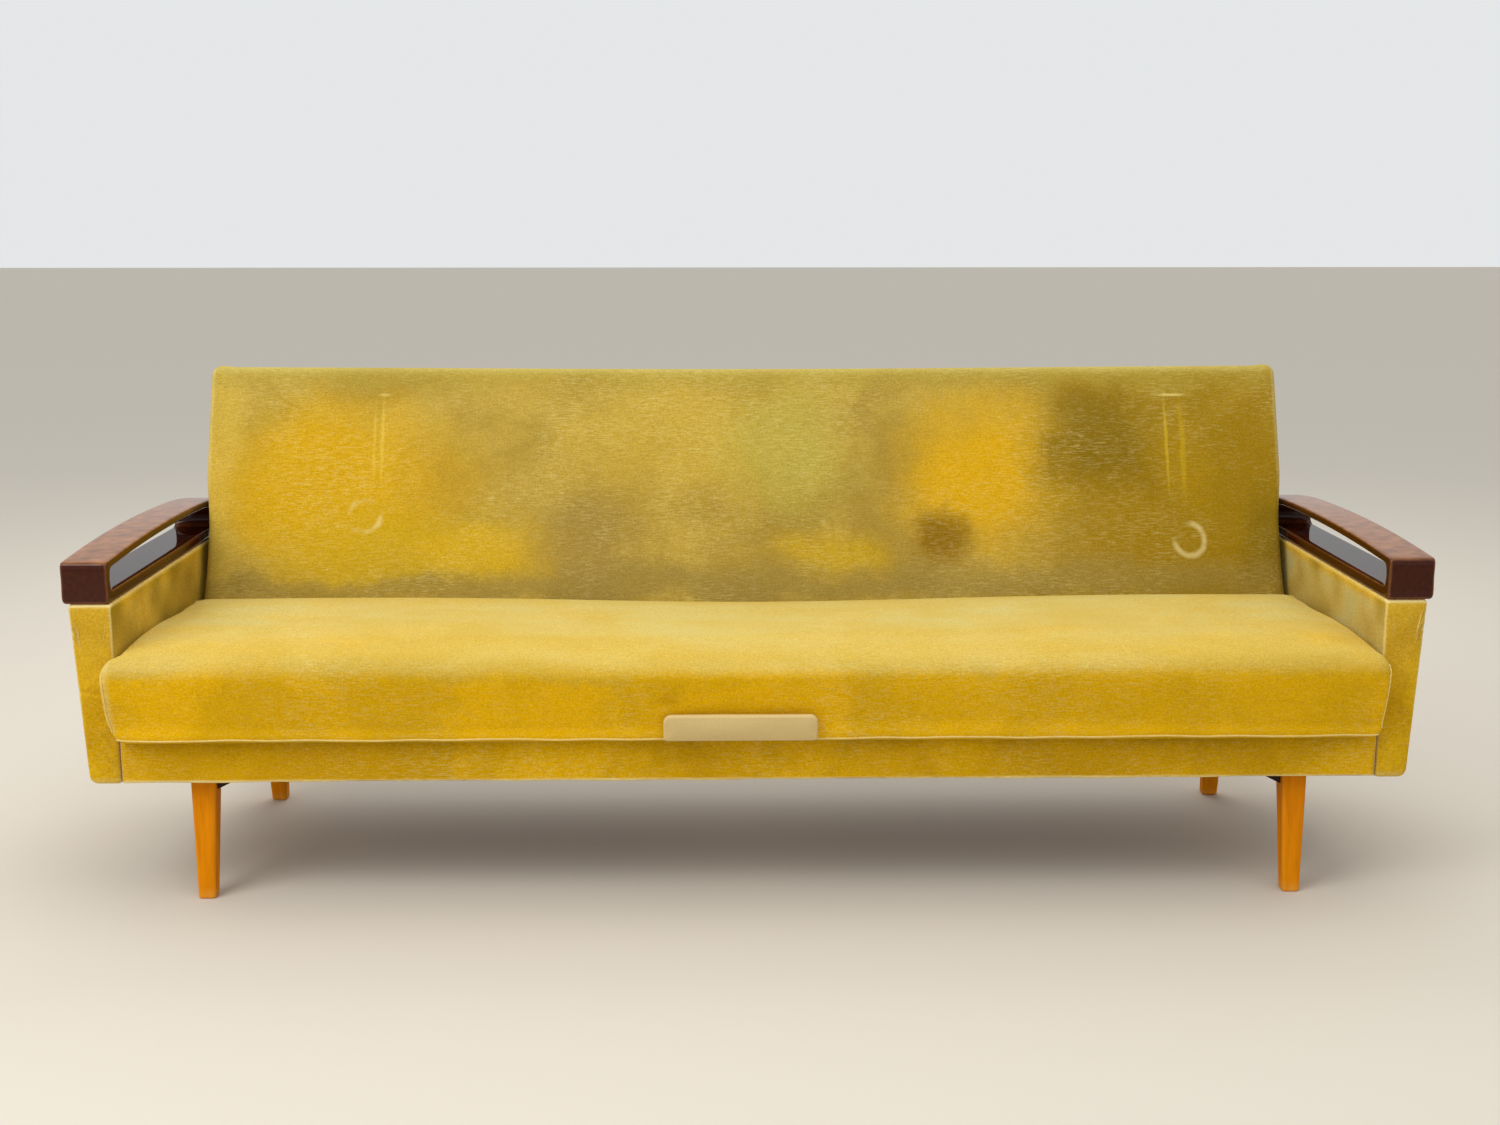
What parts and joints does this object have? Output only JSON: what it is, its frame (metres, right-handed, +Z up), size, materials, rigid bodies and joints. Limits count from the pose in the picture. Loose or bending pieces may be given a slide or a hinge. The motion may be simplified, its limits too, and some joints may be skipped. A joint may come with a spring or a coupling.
{
  "type": "sofa bed",
  "caption": "Long upholstered sofa bed on tapered wooden legs, with slotted wooden armrests, a lifting seat over a bedding box and a back that folds down flat.",
  "frame": {"origin": "on the floor under the middle of the sofa's box", "axes": "+X along the sofa to its left arm as one sits, seen from the front as the right; -Y is the front; +Z up"},
  "size_m": [2.104, 0.7725, 0.7851],
  "materials": {
    "old_gold_velvet": "worn cotton velvet, old gold",
    "beige_tab_cloth": "faded beige velvet",
    "brown_lacquered_beech": "dark brown stain under high-gloss lacquer",
    "honey_beech": "honey stain under satin lacquer",
    "sawn_pine": "sawn, unfinished",
    "hardboard": "pressed fibreboard",
    "black_dust_cloth": "thin black dust cloth",
    "jute_webbing": "woven jute",
    "spring_steel": "drawn wire",
    "zinc_plated_steel": "zinc plated, dull"
  },
  "bodies": {
    "base": {"base_rail_front": "sawn_pine", "base_rail_rear": "sawn_pine", "base_rail_left": "sawn_pine", "base_rail_right": "sawn_pine", "leg_rail_left": "sawn_pine", "leg_rail_right": "sawn_pine", "base_rail_middle": "sawn_pine", "bedding_floor": "hardboard", "apron_cover": "old_gold_velvet", "arm_board_left": "sawn_pine", "arm_board_right": "sawn_pine", "arm_cover_left": "old_gold_velvet", "arm_cover_right": "old_gold_velvet", "armrest_left": "brown_lacquered_beech", "armrest_right": "brown_lacquered_beech", "armrest_dowel_front_left": "honey_beech", "armrest_dowel_front_right": "honey_beech", "armrest_dowel_rear_left": "honey_beech", "armrest_dowel_rear_right": "honey_beech", "leg_front_left": "honey_beech", "leg_front_right": "honey_beech", "leg_rear_left": "honey_beech", "leg_rear_right": "honey_beech", "leg_brace_front_left": "brown_lacquered_beech", "leg_brace_front_right": "brown_lacquered_beech", "leg_brace_rear_left": "brown_lacquered_beech", "leg_brace_rear_right": "brown_lacquered_beech", "hinge_plate_left": "zinc_plated_steel", "hinge_plate_right": "zinc_plated_steel", "pivot_bolt_left": "zinc_plated_steel", "pivot_bolt_right": "zinc_plated_steel"},
    "seat": {"seat_frame_front": "sawn_pine", "seat_frame_rear": "sawn_pine", "seat_frame_left": "sawn_pine", "seat_frame_right": "sawn_pine", "seat_spring_1": "spring_steel", "seat_spring_2": "spring_steel", "seat_spring_3": "spring_steel", "seat_spring_4": "spring_steel", "seat_spring_5": "spring_steel", "seat_dust_cover": "black_dust_cloth", "seat_pad": "old_gold_velvet", "pull_tab": "beige_tab_cloth", "seat_link_left": "zinc_plated_steel", "seat_link_right": "zinc_plated_steel"},
    "back": {"back_frame_top": "sawn_pine", "back_frame_bottom": "sawn_pine", "back_frame_left": "sawn_pine", "back_frame_right": "sawn_pine", "back_web_left": "jute_webbing", "back_web_middle": "jute_webbing", "back_web_right": "jute_webbing", "back_pad": "old_gold_velvet", "back_rear_cover": "old_gold_velvet", "back_link_left": "zinc_plated_steel", "back_link_right": "zinc_plated_steel"},
    "pawl_lever_left": {"pawl_left": "zinc_plated_steel"},
    "pawl_lever_right": {"pawl_right": "zinc_plated_steel"}
  },
  "joints": [
    {"name": "seat_lift", "type": "hinge", "parent": "base", "child": "seat", "pos_m": [0, 0.15832, 0.35338], "axis": [-1, 0, 0], "range_deg": [0, 40]},
    {"name": "back_recline", "type": "hinge", "parent": "base", "child": "back", "pos_m": [0, 0.15832, 0.35338], "axis": [-1, 0, 0], "range_deg": [0, 68.87]},
    {"name": "pawl_trip_left", "type": "hinge", "parent": "base", "child": "pawl_lever_left", "pos_m": [-0.967, 0.19032, 0.31878], "axis": [-1, 0, 0], "range_deg": [0, 6]},
    {"name": "pawl_trip_right", "type": "hinge", "parent": "base", "child": "pawl_lever_right", "pos_m": [0.967, 0.19032, 0.31878], "axis": [-1, 0, 0], "range_deg": [0, 6]}
  ],
  "couplings": [
    {"joint": "pawl_trip_right", "follows": "pawl_trip_left", "ratio": 1}
  ]
}
